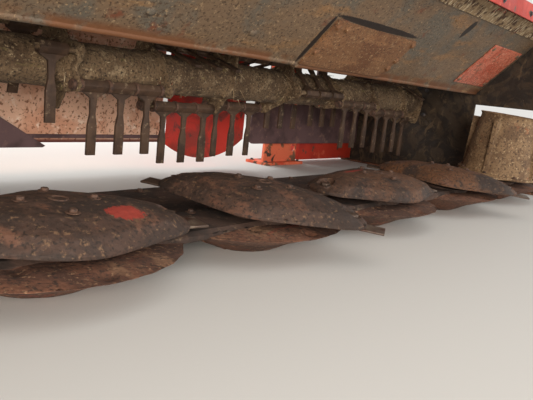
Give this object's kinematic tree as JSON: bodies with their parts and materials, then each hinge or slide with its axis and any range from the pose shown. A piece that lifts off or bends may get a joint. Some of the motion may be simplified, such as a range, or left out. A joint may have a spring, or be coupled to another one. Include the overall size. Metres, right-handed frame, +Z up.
{
  "type": "disc mower conditioner cutting head",
  "caption": "Cutting and conditioning head of a disc mower conditioner: cutterbar with bladed discs, tined conditioner rotor, hood and rear flap.",
  "frame": {"origin": "ground level below the middle of the line of discs", "axes": "+X to the machine's right as seen in the picture, +Y to the rear, +Z up; the machine travels towards -Y"},
  "size_m": [2.7153, 1.0007, 0.8484],
  "materials": {
    "caked_mud": "rough",
    "tine_steel": "worn",
    "dark_steel": "worn",
    "rusty_disc": "rusty",
    "blade_steel": "worn",
    "rust_skid": "rusty",
    "bar_casting": "rusty",
    "hood_rust": "rusty",
    "patch_rust": "rusty",
    "salmon_paint": "worn",
    "straw_strip": "rough",
    "red_paint": "worn",
    "faded_sheet": "worn",
    "purple_brown": "worn"
  },
  "bodies": {
    "head_frame": {"corner_box": "red_paint", "cutterbar": "bar_casting", "deck": "red_paint", "drive_guard": "red_paint", "end_shoes": "rust_skid", "front_strip": "straw_strip", "gearbox": "bar_casting", "hitch_lugs": "red_paint", "hood_panel_left": "hood_rust", "hood_panel_right": "hood_rust", "main_beam": "red_paint", "overlap_plate": "salmon_paint", "patch_plate": "patch_rust", "rear_beam": "red_paint", "rear_legs": "red_paint", "rear_rail": "rust_skid", "rotor_bearings": "dark_steel", "rotor_cover": "hood_rust", "side_wall_left": "hood_rust", "side_wall_right": "hood_rust", "skid_shoes": "rust_skid", "swath_board_left": "purple_brown", "swath_board_right": "purple_brown"},
    "disc_0": {"disc_0": "rusty_disc", "blades_0": "blade_steel"},
    "disc_1": {"disc_1": "rusty_disc", "blades_1": "blade_steel"},
    "disc_2": {"disc_2": "rusty_disc", "blades_2": "blade_steel"},
    "disc_3": {"disc_3": "rusty_disc", "blades_3": "blade_steel"},
    "disc_4": {"disc_4": "rusty_disc", "blades_4": "blade_steel"},
    "disc_5": {"disc_5": "rusty_disc", "blades_5": "blade_steel"},
    "rotor": {"rotor_core": "caked_mud", "tines_down": "tine_steel", "tines_front": "tine_steel", "tines_back": "tine_steel"},
    "flap": {"flap_sheet": "faded_sheet", "flap_panel": "red_paint"},
    "input_shaft": {"input_shaft": "dark_steel"}
  },
  "joints": [
    {"name": "disc_0_spin", "type": "hinge", "parent": "head_frame", "child": "disc_0", "pos_m": [-1, 0, 0.077], "axis": [0, -0.075, 0.9972], "continuous": true},
    {"name": "disc_1_spin", "type": "hinge", "parent": "head_frame", "child": "disc_1", "pos_m": [-0.6, 0, 0.077], "axis": [0, -0.075, 0.9972], "continuous": true},
    {"name": "disc_2_spin", "type": "hinge", "parent": "head_frame", "child": "disc_2", "pos_m": [-0.2, 0, 0.077], "axis": [0, -0.075, 0.9972], "continuous": true},
    {"name": "disc_3_spin", "type": "hinge", "parent": "head_frame", "child": "disc_3", "pos_m": [0.2, 0, 0.077], "axis": [0, -0.075, 0.9972], "continuous": true},
    {"name": "disc_4_spin", "type": "hinge", "parent": "head_frame", "child": "disc_4", "pos_m": [0.6, 0, 0.077], "axis": [0, -0.075, 0.9972], "continuous": true},
    {"name": "disc_5_spin", "type": "hinge", "parent": "head_frame", "child": "disc_5", "pos_m": [1, 0, 0.077], "axis": [0, -0.075, 0.9972], "continuous": true},
    {"name": "rotor_spin", "type": "hinge", "parent": "head_frame", "child": "rotor", "pos_m": [0, 0.457, 0.283], "axis": [1, 0, 0], "continuous": true},
    {"name": "flap_hinge", "type": "hinge", "parent": "head_frame", "child": "flap", "pos_m": [0, 0.716, 0.492], "axis": [1, 0, 0], "range_deg": [0, 65]},
    {"name": "input_spin", "type": "hinge", "parent": "head_frame", "child": "input_shaft", "pos_m": [-1, -0.12, 0.455], "axis": [0, -1, 0], "continuous": true}
  ],
  "couplings": [
    {"joint": "disc_1_spin", "follows": "disc_0_spin", "ratio": -1},
    {"joint": "disc_2_spin", "follows": "disc_0_spin", "ratio": 1},
    {"joint": "disc_3_spin", "follows": "disc_0_spin", "ratio": -1},
    {"joint": "disc_4_spin", "follows": "disc_0_spin", "ratio": 1},
    {"joint": "disc_5_spin", "follows": "disc_0_spin", "ratio": -1}
  ]
}
